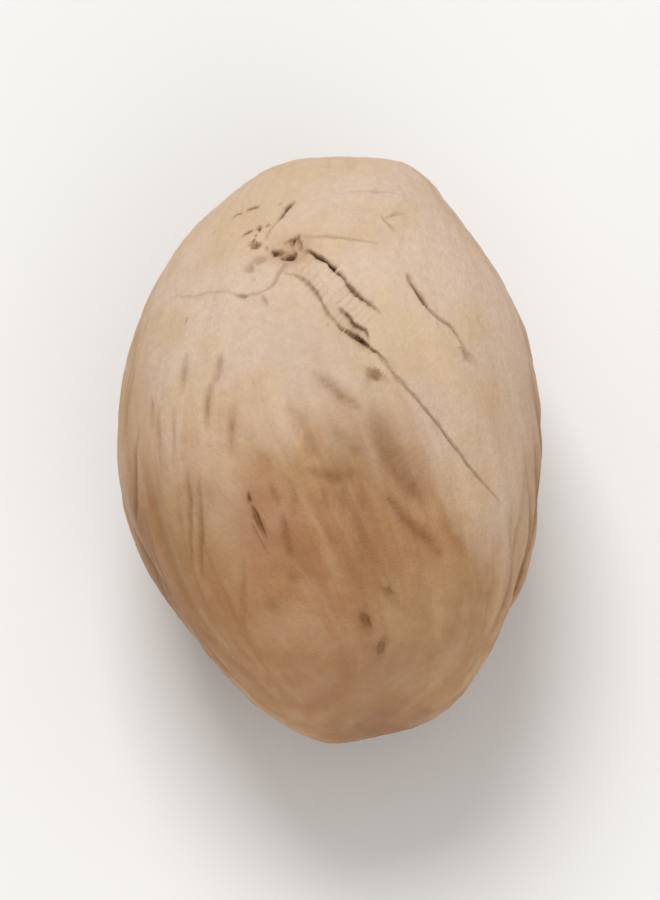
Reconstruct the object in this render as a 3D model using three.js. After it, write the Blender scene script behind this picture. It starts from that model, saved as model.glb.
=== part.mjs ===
// A whole shelled nutmeg: one dry kernel, lying on its side on a small flat rest.
// Millimetres, +Z up. +Y runs along the kernel from its narrow end, which carries the chalaza, to its broad
// end, near which the hilum scar lies on the upper side. The origin is under the middle, on the floor.
import * as THREE from "three";
import { mergeVertices } from "three/addons/utils/BufferGeometryUtils.js";

// Driving dimensions: the kernel's whole reach along each axis, as it lies.
const LENGTH = 29;
const WIDTH = 19.6;
const HEIGHT = 18.8;
// The belly is worn to a flat this deep, so the kernel lies still.
const REST_DEPTH = 0.5;

// How the kernel departs from an even ellipsoid.
const TAPER = 0.07; // share of girth lost at the narrow end
const LEAN = { narrow: 1.25, broad: 0.9 }; // how far each end leans towards +X
// Broad, shallow lumps, as waves: so many round the kernel, and so many radians from its middle to its tip.
const LUMPS = [
  { round: 2, along: 2.9, phase: 0.4, rise: 0.08 },
  { round: 3, along: -4.4, phase: 1.7, rise: 0.05 },
];

// The scars, as the angle round the kernel from its top towards +X, and the place along it from -1 to 1.
const HILUM = { turn: degrees(-12), along: 0.365, radius: 0.85, depth: 0.5, collar: 2.6, rise: 0.14 };
const CHALAZA = { turn: degrees(158), along: -0.86, radius: 1.5, depth: 0.55, collar: 3.4, rise: 0.1 };
// The raphe runs as one shallow groove from the hilum over the right cheek to the chalaza. It sets out along
// the kernel and turns ever more round it: the turn grows as this power of the way gone.
const RAPHE = { bend: 1.75, width: 0.62, depth: 0.2 };
// A sunken patch on the upper side, towards the narrow end.
const HOLLOW = { turn: degrees(6), along: -0.36, wide: 3.2, long: 4.6, depth: 0.3, furrowed: 0.5 };

// Two sets of furrows, which cross at a small angle and so form long meshes. Each set has lines that run from
// end to end, and lines that fan out from the hilum and join them.
const FURROWS = [
  { lines: 19, fromHilum: 8, twist: 0, sway: 0.75, phase: 0.6, depth: 0.44, sharp: 2 },
  { lines: 13, fromHilum: 4, twist: -1.7, sway: 0.8, phase: 2.3, depth: 0.38, sharp: 2.6 },
];
// Their lines sway from side to side in waves like those of the lumps, and come and go in patches.
const SWAYS = [
  { round: 2, along: 3.1, share: 1 },
  { round: 5, along: -4.3, share: 0.7 },
  { round: 3, along: 7.7, share: 0.5 },
];
const PATCHES = [
  { round: 3, along: 5.3 },
  { round: 2, along: -6.1 },
];
const PATCHY = 0.4;
// On the cheek that the raphe crosses, the furrows turn with it.
const GRAIN = { turn: degrees(65), sweep: degrees(40), from: 0.3, to: 0.62 };
// Furrows are faint round this turn, on the smooth upper cheek, and deep on the far side of the kernel.
const SMOOTH_CHEEK = { turn: degrees(12), from: 0.22, to: 0.85 };
const FAINTEST = 0.08;
const FURROW_END = { from: 0.58, to: 0.9 }; // they fade out between these places along the kernel
const FURROW_START = { from: 1.2, to: 5 }; // and between these distances from the hilum

// Broad facets left where the kernel lay against its shell: the facet's direction, and how deep it presses.
const FACETS = [
  { towards: [0, 0.88, 0.46], depth: 0.63 }, // crown of the broad end
  { towards: [-0.61, 0.69, 0.36], depth: 0.42 }, // left shoulder
  { towards: [0.88, 0.59, 0.32], depth: 0.54 }, // right shoulder
  { towards: [-0.7, -0.5, -0.23], depth: 1 }, // left cheek, towards the narrow end
  { towards: [0.3, -1, 0.2], depth: 0.6 }, // narrow tip
  { towards: [0.3, 0.9, -0.4], depth: 0.25 }, // under the crown
  { towards: [0.8, -0.2, -0.56], depth: 0.35 },
  { towards: [-0.5, 0.62, -0.6], depth: 0.35 },
];
const PRESS = { softness: 0.7, share: 0.9 }; // how gently a facet starts, and how flat it is

// An icosahedron's sides are split this many times, which gives 20 * (SPLITS + 1) ** 2 triangles.
const SPLITS = 21;

const HALF = new THREE.Vector3(WIDTH / 2, LENGTH / 2, (HEIGHT + REST_DEPTH) / 2);
const GIRTH = (WIDTH + HEIGHT) / 4; // mean radius round the long axis
const LEAST_GIRTH = 0.14; // share of it that is left at the tips

function degrees(angle) {
  return THREE.MathUtils.degToRad(angle);
}

// From 0 in front of one place to 1 past another, with a soft start and end.
function rise(value, from, to) {
  return THREE.MathUtils.smoothstep(value, from, to);
}

// One wave over the skin.
function wave(shape, turn, along, phase) {
  return Math.sin(shape.round * turn + shape.along * along + phase);
}

// The turn from one angle to another, between -PI and PI.
function turnBetween(from, to) {
  return Math.atan2(Math.sin(to - from), Math.cos(to - from));
}

// The smooth body under a direction: a tapered ellipsoid whose ends lean aside.
function bodyPoint(way) {
  const narrow = Math.min(way.y, 0) ** 2;
  const broad = Math.max(way.y, 0) ** 2;
  const girth = 1 - TAPER * narrow;
  return new THREE.Vector3(
    HALF.x * way.x * girth + LEAN.narrow * narrow + LEAN.broad * broad,
    HALF.y * way.y,
    HALF.z * way.z * girth,
  );
}

// Presses each facet into a point: what stands past the facet's plane is drawn back softly.
function press(point) {
  for (const facet of FACETS) {
    const normal = new THREE.Vector3(...facet.towards).normalize();
    const reach = normal.clone().multiply(HALF).length() - facet.depth;
    const past = normal.dot(point) - reach;
    const drawn = 0.5 * (past + Math.hypot(past, PRESS.softness));
    point.addScaledVector(normal, -PRESS.share * drawn);
  }
  return point;
}

// Millimetres over the surface from a scar to a place, as [round the kernel, along it].
function offsetFrom(scar, turn, along) {
  const girth = GIRTH * Math.max(Math.sqrt(1 - along * along), LEAST_GIRTH);
  return [turnBetween(scar.turn, turn) * girth, (along - scar.along) * HALF.y];
}

// A pit with a low collar round it.
function scarHeight(scar, turn, along) {
  const distance = Math.hypot(...offsetFrom(scar, turn, along));
  const pit = Math.exp(-((distance / scar.radius) ** 2));
  const collar = Math.exp(-((distance / scar.collar) ** 2));
  return scar.rise * collar - (scar.depth + scar.rise) * pit;
}

// From 1 at a turn to 0 on the kernel's other side.
function facing(turn, middle) {
  return 0.5 + 0.5 * Math.cos(turn - middle);
}

// The share of the way from the hilum to the chalaza, along the kernel.
function gone(along) {
  return THREE.MathUtils.clamp((HILUM.along - along) / (HILUM.along - CHALAZA.along), 0, 1);
}

// One set of furrows, from 0 on the pads between them to 1 along their lines.
function furrow(set, turn, along) {
  const [round, up] = offsetFrom(HILUM, turn, along);
  const fan = Math.atan2(round, -up) * facing(turn, HILUM.turn);
  const cheek = rise(facing(turn, GRAIN.turn), GRAIN.from, GRAIN.to);
  const swept = GRAIN.sweep * gone(along) ** RAPHE.bend * cheek;
  let line = set.lines * (turn - swept) + set.fromHilum * fan + set.twist * Math.PI * along;
  SWAYS.forEach((sway, i) => {
    line += set.sway * sway.share * wave(sway, turn, along, (i + 1) * set.phase);
  });
  const patch = PATCHES.reduce((product, shape) => product * wave(shape, turn, along, set.phase), 1);
  return (1 - PATCHY + PATCHY * patch) * (0.5 + 0.5 * Math.cos(line)) ** set.sharp;
}

// From 0 off the hollow to 1 in its middle.
function inHollow(turn, along) {
  const [round, up] = offsetFrom(HOLLOW, turn, along);
  return Math.exp(-((round / HOLLOW.wide) ** 2) - (up / HOLLOW.long) ** 2);
}

// How strongly the furrows show at a place: from FAINTEST to 1, and a little in the hollow.
function furrowStrength(turn, along) {
  const flank = rise(1 - facing(turn, SMOOTH_CHEEK.turn), SMOOTH_CHEEK.from, SMOOTH_CHEEK.to);
  const start = rise(Math.hypot(...offsetFrom(HILUM, turn, along)), FURROW_START.from, FURROW_START.to);
  const end = 1 - rise(Math.abs(along), FURROW_END.from, FURROW_END.to);
  const strength = FAINTEST + (1 - FAINTEST) * flank + HOLLOW.furrowed * inHollow(turn, along);
  return Math.min(strength, 1) * start * end;
}

// The raphe's groove.
function rapheDepth(turn, along) {
  const share = gone(along);
  const whole = CHALAZA.turn - HILUM.turn;
  const route = HILUM.turn + whole * share ** RAPHE.bend;
  const [round] = offsetFrom({ turn: route, along }, turn, along);
  const way = (HILUM.along - CHALAZA.along) * HALF.y;
  const slant = (whole * RAPHE.bend * share ** (RAPHE.bend - 1) * GIRTH) / way;
  const aside = round / Math.hypot(1, slant);
  const ends = rise(share, 0, 0.06) * (1 - rise(share, 0.9, 1));
  return RAPHE.depth * ends * Math.exp(-((aside / RAPHE.width) ** 2));
}

// How far the skin stands proud of the smooth body.
function relief(turn, along) {
  const lumps = LUMPS.reduce((sum, lump) => sum + lump.rise * wave(lump, turn, along, lump.phase), 0);
  const furrows = Math.max(...FURROWS.map((set) => set.depth * furrow(set, turn, along)));
  return (
    lumps * (1 - along * along) -
    furrowStrength(turn, along) * furrows +
    scarHeight(HILUM, turn, along) +
    scarHeight(CHALAZA, turn, along) -
    rapheDepth(turn, along) -
    HOLLOW.depth * inHollow(turn, along)
  );
}

// The skin under a direction from the kernel's middle.
function skinPoint(way) {
  const turn = Math.atan2(way.x, way.z);
  const outward = new THREE.Vector3(way.x / HALF.x, way.y / HALF.y, way.z / HALF.z).normalize();
  return press(bodyPoint(way)).addScaledVector(outward, relief(turn, way.y));
}

// Every direction from the middle becomes a point of the skin. The kernel is then brought to its driving
// dimensions with its middle over the origin, and its belly is worn flat on the floor.
function kernelGeometry() {
  const ball = new THREE.IcosahedronGeometry(1, SPLITS);
  ball.deleteAttribute("normal");
  ball.deleteAttribute("uv");
  const kernel = mergeVertices(ball);
  const place = kernel.getAttribute("position");
  const point = new THREE.Vector3();
  for (let i = 0; i < place.count; i++) {
    point.fromBufferAttribute(place, i).normalize();
    place.setXYZ(i, ...skinPoint(point));
  }
  kernel.computeBoundingBox();
  const middle = kernel.boundingBox.getCenter(new THREE.Vector3());
  const reach = kernel.boundingBox.getSize(new THREE.Vector3());
  kernel.translate(-middle.x, -middle.y, -middle.z);
  kernel.scale((2 * HALF.x) / reach.x, (2 * HALF.y) / reach.y, (2 * HALF.z) / reach.z);
  kernel.translate(0, 0, HALF.z - REST_DEPTH);
  for (let i = 0; i < place.count; i++) {
    place.setZ(i, Math.max(place.getZ(i), 0));
  }
  kernel.computeVertexNormals();
  return kernel;
}

function kernelMesh() {
  const skin = new THREE.MeshStandardMaterial({ color: "#b99772", roughness: 0.72, metalness: 0 });
  const mesh = new THREE.Mesh(kernelGeometry(), skin);
  mesh.name = "nutmeg_kernel";
  return mesh;
}

const nutmeg = new THREE.Group();
nutmeg.add(kernelMesh());

export default nutmeg;
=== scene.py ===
"""Visual model of a whole shelled nutmeg: one dry kernel, lying on its side.

The kernel lies along +Y, with its narrow end at -Y, its broad end at +Y and the hilum scar on its upper side.
Sizes are in millimetres, unless a name says otherwise, and the piece is brought to metres as its last step.
A spot on the skin is given by its turn, which is the angle round the kernel from the top towards +X, and by
how far along the kernel it lies, from -1 at the narrow tip to 1 at the broad one.
"""
import logging
import math
from dataclasses import dataclass
from enum import Enum
from typing import NamedTuple

import bmesh
import bpy
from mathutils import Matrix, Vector
from mathutils.kdtree import KDTree


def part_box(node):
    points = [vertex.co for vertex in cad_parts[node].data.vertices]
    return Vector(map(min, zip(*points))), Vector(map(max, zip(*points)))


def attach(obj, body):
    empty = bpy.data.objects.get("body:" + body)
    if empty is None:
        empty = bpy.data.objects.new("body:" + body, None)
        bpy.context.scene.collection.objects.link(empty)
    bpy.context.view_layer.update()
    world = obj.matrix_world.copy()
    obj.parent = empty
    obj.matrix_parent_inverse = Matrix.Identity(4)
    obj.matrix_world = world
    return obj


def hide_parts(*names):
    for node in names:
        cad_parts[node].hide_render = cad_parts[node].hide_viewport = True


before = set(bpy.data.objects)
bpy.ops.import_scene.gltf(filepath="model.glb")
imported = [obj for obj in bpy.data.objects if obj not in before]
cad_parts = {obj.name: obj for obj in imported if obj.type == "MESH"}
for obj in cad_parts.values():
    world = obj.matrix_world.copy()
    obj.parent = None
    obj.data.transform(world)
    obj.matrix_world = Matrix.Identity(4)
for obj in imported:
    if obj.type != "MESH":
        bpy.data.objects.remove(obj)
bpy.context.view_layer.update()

log = logging.getLogger("nutmeg")

NODE = "nutmeg_kernel"
METRES = 0.001

Triple = tuple[float, float, float]
Colour = tuple[float, float, float, float]
# Two lengths, or the two values between which something comes or goes.
Span = tuple[float, float]
# Stops over the skin, each a turn in degrees and how far along the kernel it lies.
Route = tuple[tuple[float, float], ...]


def srgb(red: int, green: int, blue: int) -> Colour:
    """Turns a screen colour of 0 to 255 into the linear colour that a shader takes.

    Args:
        red: the red share of the colour.
        green: the green share.
        blue: the blue share.

    Returns:
        The colour as linear red, green, blue and alpha.
    """
    shares = (channel / 255 for channel in (red, green, blue))
    linear = (s / 12.92 if s <= 0.04045 else ((s + 0.055) / 1.055) ** 2.4 for s in shares)
    return (*linear, 1.0)


def new_object(name: str, data: bpy.types.ID) -> bpy.types.Object:
    """Makes an object of a mesh, a camera or a light and puts it in the scene.

    Args:
        name: the object's name.
        data: what it is made of.

    Returns:
        The object.
    """
    made = bpy.data.objects.new(name, data)
    bpy.context.scene.collection.objects.link(made)
    return made


# --- Node trees, written as Python expressions --------------------------------------------------------------


class Noise(NamedTuple):
    """Soft noise: lumps to a millimetre, finer layers, how strong each of those is, and what it amounts to.

    Along the kernel it keeps the lengthwise share of its scale, so that a small share makes long streaks.
    """

    scale: float
    detail: float = 2.0
    rough: float = 0.5
    strength: float = 1.0
    lengthwise: float = 1.0


class Drift(NamedTuple):
    """Noise that moves a place about: its scale, about how far the place moves, and its finer layers."""

    scale: float
    reach: float
    detail: float = 2.0


class Wire:
    """A value in a node tree. Python's operators on it, and its own methods, add nodes to the tree."""

    def __init__(self, plan: "Plan", socket: bpy.types.NodeSocket) -> None:
        """Wraps an output socket of the plan's tree."""
        self.plan = plan
        self.socket = socket

    @property
    def is_vector(self) -> bool:
        """Whether the value has three parts."""
        return self.socket.type in {"VECTOR", "RGBA"}

    def __add__(self, other: "Value") -> "Wire":
        """Adds."""
        return self.plan.maths("ADD", self, other)

    def __radd__(self, other: "Value") -> "Wire":
        """Adds, with this value on the right."""
        return self.plan.maths("ADD", other, self)

    def __sub__(self, other: "Value") -> "Wire":
        """Subtracts."""
        return self.plan.maths("SUBTRACT", self, other)

    def __rsub__(self, other: "Value") -> "Wire":
        """Subtracts this value."""
        return self.plan.maths("SUBTRACT", other, self)

    def __mul__(self, other: "Value") -> "Wire":
        """Multiplies."""
        return self.plan.maths("MULTIPLY", self, other)

    def __rmul__(self, other: "Value") -> "Wire":
        """Multiplies, with this value on the right."""
        return self.plan.maths("MULTIPLY", other, self)

    def __truediv__(self, other: "Value") -> "Wire":
        """Divides."""
        return self.plan.maths("DIVIDE", self, other)

    def __rtruediv__(self, other: "Value") -> "Wire":
        """Divides by this value."""
        return self.plan.maths("DIVIDE", other, self)

    def __pow__(self, power: "Value") -> "Wire":
        """Raises to a power."""
        return self.plan.maths("POWER", self, power)

    def sine(self) -> "Wire":
        """The sine."""
        return self.plan.maths("SINE", self)

    def cosine(self) -> "Wire":
        """The cosine."""
        return self.plan.maths("COSINE", self)

    def root(self) -> "Wire":
        """The square root."""
        return self.plan.maths("SQRT", self)

    def at_least(self, low: "Value") -> "Wire":
        """The greater of the value and another."""
        return self.plan.maths("MAXIMUM", self, low)

    def at_most(self, high: "Value") -> "Wire":
        """The lesser of the value and another."""
        return self.plan.maths("MINIMUM", self, high)

    def clamp(self) -> "Wire":
        """Keeps the value between 0 and 1."""
        return self.plan.get("ShaderNodeMath", 0, {"operation": "ADD", "use_clamp": True}, {0: self, 1: 0.0})

    def fade(self) -> "Wire":
        """Falls from 1 at 0 to almost nothing at 4."""
        return self.plan.maths("EXPONENT", 0 - self)

    def bell(self) -> "Wire":
        """Falls from 1 at 0 to almost nothing at 2 on either side."""
        return (self * self).fade()

    def rise(self, start: float, end: float, low: float = 0.0, high: float = 1.0) -> "Wire":
        """Goes softly from one number to another as the value passes from start to end.

        Args:
            start: where the change starts.
            end: where it ends.
            low: the result before the start.
            high: the result past the end.

        Returns:
            The result.
        """
        sockets = {"Value": self, "From Min": start, "From Max": end, "To Min": low, "To Max": high}
        return self.plan.get("ShaderNodeMapRange", "Result", {"interpolation_type": "SMOOTHSTEP"}, sockets)

    def fall(self, start: float, end: float) -> "Wire":
        """Goes softly from 1 to 0 as the value passes from start to end."""
        return self.rise(start, end, 1.0, 0.0)

    def split(self) -> tuple["Wire", "Wire", "Wire"]:
        """Takes a vector apart into x, y and z."""
        x, y, z = self.plan.add("ShaderNodeSeparateXYZ", values={0: self}).outputs
        return Wire(self.plan, x), Wire(self.plan, y), Wire(self.plan, z)

    def noise(self, kind: Noise) -> "Wire":
        """Reads noise at this place.

        Args:
            kind: the noise.

        Returns:
            The noise, between about -1 and 1 times its strength.
        """
        where = self if kind.lengthwise == 1.0 else self * (1.0, kind.lengthwise, 1.0)
        sockets = {"Vector": where, "Scale": kind.scale, "Detail": kind.detail, "Roughness": kind.rough}
        noise = self.plan.get("ShaderNodeTexNoise", 0, {"normalize": False}, sockets)
        return noise if kind.strength == 1.0 else kind.strength * noise

    def drift(self, *moves: Drift) -> "Wire":
        """Moves this place about by noise.

        Args:
            moves: the moves, one after the other.

        Returns:
            The moved place.
        """
        moved = self
        for move in moves:
            sockets = {"Vector": moved, "Scale": move.scale, "Detail": move.detail}
            colour = self.plan.get("ShaderNodeTexNoise", "Color", {"normalize": True}, sockets)
            moved = moved + (colour - (0.5, 0.5, 0.5)) * (2.0 * move.reach)
        return moved

    def seams(self) -> "Wire":
        """The distance from this place to the nearest seam between the cells of a Voronoi pattern."""
        settings = {"feature": "DISTANCE_TO_EDGE"}
        return self.plan.get("ShaderNodeTexVoronoi", "Distance", settings, {"Vector": self, "Scale": 1.0})

    def spots(self, scale: float) -> tuple["Wire", "Wire"]:
        """Reads scattered points at this place.

        Args:
            scale: cells for each unit of length, each with one point.

        Returns:
            The distance to the nearest point, in cells, and a number of that point's own between 0 and 1.
        """
        node = self.plan.add("ShaderNodeTexVoronoi", {"feature": "F1"}, {"Vector": self, "Scale": scale})
        own = Wire(self.plan, node.outputs["Color"]).split()[0]
        return Wire(self.plan, node.outputs["Distance"]), own

    def store(self, **values: "Wire") -> "Wire":
        """Keeps values on this mesh.

        Args:
            values: the values by name.

        Returns:
            The mesh with its values.
        """
        shape = self
        for name, value in values.items():
            settings = {"data_type": "FLOAT_VECTOR" if value.is_vector else "FLOAT", "domain": "POINT"}
            sockets = {"Geometry": shape, "Name": name, "Value": value}
            shape = self.plan.get("GeometryNodeStoreNamedAttribute", 0, settings, sockets)
        return shape

    def move(self, **where: "Wire") -> "Wire":
        """Moves this mesh's points to a Position, or by an Offset."""
        return self.plan.get("GeometryNodeSetPosition", 0, values={"Geometry": self, **where})


Value = Wire | float | Triple


class Plan:
    """A node tree under construction."""

    def __init__(self, tree: bpy.types.NodeTree) -> None:
        """Starts on a tree, which may hold nodes already."""
        self.tree = tree

    def add(self, kind: str, settings: dict | None = None, values: dict | None = None) -> bpy.types.Node:
        """Adds a node.

        Args:
            kind: the node's type.
            settings: its settings by name, which are set first.
            values: what goes into its sockets, by socket name or number.

        Returns:
            The new node.
        """
        node = self.tree.nodes.new(kind)
        for name, setting in (settings or {}).items():
            setattr(node, name, setting)
        for key, value in (values or {}).items():
            if isinstance(value, Wire):
                self.tree.links.new(value.socket, node.inputs[key])
            else:
                node.inputs[key].default_value = value
        return node

    def get(
        self, kind: str, output: str | int, settings: dict | None = None, values: dict | None = None
    ) -> Wire:
        """Adds a node and takes one of its outputs.

        Args:
            kind: the node's type.
            output: the output's name or number.
            settings: its settings by name.
            values: what goes into its sockets.

        Returns:
            The output.
        """
        return Wire(self, self.add(kind, settings, values).outputs[output])

    def maths(self, operation: str, *values: Value) -> Wire:
        """Adds a Math node, or a Vector Math node where a value has three parts.

        Args:
            operation: the node's operation.
            values: what it works on.

        Returns:
            The result.
        """
        vector = any(isinstance(v, tuple) or isinstance(v, Wire) and v.is_vector for v in values)
        if not vector:
            return self.get("ShaderNodeMath", 0, {"operation": operation}, dict(enumerate(values)))
        triples = [v if isinstance(v, (Wire, tuple)) else (v, v, v) for v in values]
        return self.get("ShaderNodeVectorMath", 0, {"operation": operation}, dict(enumerate(triples)))

    def join(self, x: Value, y: Value, z: Value) -> Wire:
        """Puts a vector together."""
        return self.get("ShaderNodeCombineXYZ", 0, values={0: x, 1: y, 2: z})

    def attribute(self, name: str, output: str = "Fac") -> Wire:
        """Reads a named attribute of the mesh in a material."""
        return self.get("ShaderNodeAttribute", output, {"attribute_name": name})

    def kept(self, name: str, kind: str = "FLOAT") -> Wire:
        """Reads a named attribute of the mesh in a geometry node tree."""
        return self.get("GeometryNodeInputNamedAttribute", 0, {"data_type": kind}, {"Name": name})

    def blend(self, share: Value, under: Value, over: Value) -> Wire:
        """Mixes two colours.

        Args:
            share: how much of the second colour shows.
            under: the first colour.
            over: the second colour.

        Returns:
            The mixed colour.
        """
        # A Mix node takes its two colours in sockets 6 and 7, and gives the mixed one in output 2.
        sockets = {"Factor": share, 6: under, 7: over}
        return self.get("ShaderNodeMix", 2, {"data_type": "RGBA"}, sockets)


@dataclass(frozen=True)
class Place:
    """A place on the skin in a node tree: its direction from the kernel's middle, turn, along and ring.

    The ring is how wide an even kernel is there, from 0 at its tips to 1 at its middle.
    """

    way: Wire
    turn: Wire
    along: Wire
    ring: Wire

    @classmethod
    def under(cls, way: Wire) -> "Place":
        """The place under a direction."""
        x, y, z = way.split()
        return cls(way, way.plan.maths("ARCTAN2", x, z), y, (1 - y * y).root())


# --- The kernel's form --------------------------------------------------------------------------------------


class Spot(NamedTuple):
    """A spot on the skin: its turn in radians, and how far along the kernel it lies."""

    turn: Value
    along: float

    @classmethod
    def at(cls, degrees: float, along: float) -> "Spot":
        """A spot whose turn is given in degrees."""
        return cls(math.radians(degrees), along)


@dataclass(frozen=True)
class Scar:
    """A pit with a low collar: its spot, the pit's radius and depth, and the collar's radius and rise."""

    spot: Spot
    radius: float
    depth: float
    collar: float
    rise: float


@dataclass(frozen=True)
class Wave:
    """A wave over the skin: so many round the kernel, and so many radians from its middle to its tip.

    Its share is how strong it is, and its phase shifts it.
    """

    round: int
    along: float
    share: float = 1.0
    phase: float = 0.0


@dataclass(frozen=True)
class Furrows:
    """A set of furrows: lines from end to end, lines that fan out from the hilum, and their shape.

    From the middle to a tip the lines shift aside by twist times half their spacing, and they sway to and
    fro. The greater sharp is, the narrower they are.
    """

    lines: int
    from_hilum: int
    twist: float
    sway: float
    phase: float
    depth: float
    sharp: float


@dataclass(frozen=True)
class Facet:
    """A broad flat: the direction it faces and how deep it presses into the body."""

    towards: Triple
    depth: float


@dataclass(frozen=True)
class KernelForm:
    """The kernel's shape, by the same rule as the solid: a point for each direction from its middle.

    A name that ends in edge, start or end holds the two values between which something comes or goes.
    """

    half: Triple
    rest_depth: float = 0.5
    taper: float = 0.07
    lean_narrow: float = 1.25
    lean_broad: float = 0.9
    hilum: Scar = Scar(Spot.at(-12, 0.365), radius=0.85, depth=0.5, collar=2.6, rise=0.14)
    chalaza: Scar = Scar(Spot.at(158, -0.86), radius=1.5, depth=0.55, collar=3.4, rise=0.1)
    raphe_bend: float = 1.75
    raphe_width: float = 0.62
    raphe_depth: float = 0.2
    raphe_start: Span = (0.0, 0.06)
    raphe_end: Span = (0.9, 1.0)
    hollow: Spot = Spot.at(6, -0.36)
    hollow_size: Span = (3.2, 4.6)
    hollow_depth: float = 0.3
    hollow_furrowed: float = 0.5
    lumps: tuple[Wave, ...] = (Wave(2, 2.9, 0.08, 0.4), Wave(3, -4.4, 0.05, 1.7))
    furrows: tuple[Furrows, ...] = (
        Furrows(lines=19, from_hilum=8, twist=0.0, sway=0.75, phase=0.6, depth=0.44, sharp=2.0),
        Furrows(lines=13, from_hilum=4, twist=-1.7, sway=0.8, phase=2.3, depth=0.38, sharp=2.6),
    )
    sways: tuple[Wave, ...] = (Wave(2, 3.1, 1.0), Wave(5, -4.3, 0.7), Wave(3, 7.7, 0.5))
    patches: tuple[Wave, ...] = (Wave(3, 5.3), Wave(2, -6.1))
    patchy: float = 0.4
    cheek_turn: float = math.radians(65)
    cheek_sweep: float = math.radians(40)
    cheek_edge: Span = (0.3, 0.62)
    smooth_turn: float = math.radians(12)
    smooth_edge: Span = (0.22, 0.85)
    hidden_edge: Span = (-0.55, 0.4)
    hidden_uneven: Noise = Noise(0.14, strength=0.3)
    tip_shown: float = 0.35
    grained_edge: Span = (0.8, 4.5)
    grained_ring_edge: Span = (0.12, 0.8)
    grain_narrowing: float = 0.25
    faintest: float = 0.08
    furrow_start: Span = (1.2, 5.0)
    furrow_end: Span = (0.58, 0.9)
    facets: tuple[Facet, ...] = (
        Facet((0.0, 0.88, 0.46), 0.63),
        Facet((-0.61, 0.69, 0.36), 0.42),
        Facet((0.88, 0.59, 0.32), 0.54),
        Facet((-0.7, -0.5, -0.23), 1.0),
        Facet((0.3, -1.0, 0.2), 0.6),
        Facet((0.3, 0.9, -0.4), 0.25),
        Facet((0.8, -0.2, -0.56), 0.35),
        Facet((-0.5, 0.62, -0.6), 0.35),
    )
    press_softness: float = 0.7
    press_share: float = 0.9
    least_ring: float = 0.14

    @classmethod
    def in_box(cls, low: Vector, high: Vector) -> "KernelForm":
        """Fits the form to a box in metres, the belly's flat on its floor."""
        x, y, z = (high - low) / METRES
        return cls(half=(x / 2, y / 2, (z + cls.rest_depth) / 2))

    @property
    def girth(self) -> float:
        """The mean radius round the long axis."""
        return (self.half[0] + self.half[2] - self.rest_depth / 2) / 2

    def way(self, spot: Spot) -> Vector:
        """The direction from the middle to a spot."""
        ring = math.sqrt(max(1 - spot.along * spot.along, 0.0))
        return Vector((math.sin(spot.turn) * ring, spot.along, math.cos(spot.turn) * ring))

    def even(self, way: Vector) -> Vector:
        """The even ellipsoid's point under a direction. Distances over the skin are measured on it."""
        return Vector(w * h for w, h in zip(way, self.half))

    def offset(self, here: Place, spot: Spot) -> tuple[Wire, Wire]:
        """Measures over the skin from a spot to a place.

        Args:
            here: the place.
            spot: the spot.

        Returns:
            Millimetres round the kernel and along it.
        """
        girth = self.girth * here.ring.at_least(self.least_ring)
        apart = here.turn - spot.turn
        wrapped = here.turn.plan.maths("ARCTAN2", apart.sine(), apart.cosine())
        return wrapped * girth, (here.along - spot.along) * self.half[1]

    def patch(self, here: Place, middle: Spot, reach: Span) -> Wire:
        """Goes from 0 off a soft patch to 1 in its middle.

        Args:
            here: the place.
            middle: the patch's middle.
            reach: its reach round the kernel and along it.

        Returns:
            The patch.
        """
        around, up = self.offset(here, middle)
        return (around / reach[0]).bell() * (up / reach[1]).bell()

    def in_hollow(self, here: Place) -> Wire:
        """Goes from 0 off the hollow to 1 in its middle."""
        return self.patch(here, self.hollow, self.hollow_size)

    def facing(self, here: Place, middle: float) -> Wire:
        """Goes from 1 at a turn to 0 on the kernel's other side."""
        return 0.5 + 0.5 * (here.turn - middle).cosine()

    def gone(self, here: Place) -> Wire:
        """The share of the way from the hilum to the chalaza, along the kernel."""
        start, end = self.hilum.spot.along, self.chalaza.spot.along
        return ((start - here.along) / (start - end)).clamp()

    def wave(self, here: Place, shape: Wave, phase: float) -> Wire:
        """One wave over the skin."""
        return (shape.round * here.turn + (shape.along * here.along + phase)).sine()

    def body(self, here: Place) -> Wire:
        """The smooth body: a tapered ellipsoid whose ends lean aside, with its facets pressed in.

        Args:
            here: the place.

        Returns:
            The point of the body.
        """
        x, y, z = here.way.split()
        narrow = y.at_most(0.0) ** 2
        broad = y.at_least(0.0) ** 2
        girth = 1 - self.taper * narrow
        aside = self.lean_narrow * narrow + self.lean_broad * broad
        point = x.plan.join(x * girth * self.half[0] + aside, y * self.half[1], z * girth * self.half[2])
        for facet in self.facets:
            normal = Vector(facet.towards).normalized()
            reach = self.even(normal).length - facet.depth
            sockets = {0: tuple(normal), 1: point}
            past = x.plan.get("ShaderNodeVectorMath", "Value", {"operation": "DOT_PRODUCT"}, sockets) - reach
            drawn = past + (past * past + self.press_softness**2).root()
            point = point - tuple(normal) * (drawn * (self.press_share / 2))
        return point

    def fan(self, here: Place) -> Wire:
        """The angle round the hilum, which fades to nothing on the kernel's other side."""
        around, up = self.offset(here, self.hilum.spot)
        return around.plan.maths("ARCTAN2", around, 0 - up) * self.facing(here, self.hilum.spot.turn)

    def swept(self, here: Place) -> Wire:
        """How far the grain has turned with the raphe."""
        cheek = self.facing(here, self.cheek_turn).rise(*self.cheek_edge)
        return self.cheek_sweep * self.gone(here) ** self.raphe_bend * cheek

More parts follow.
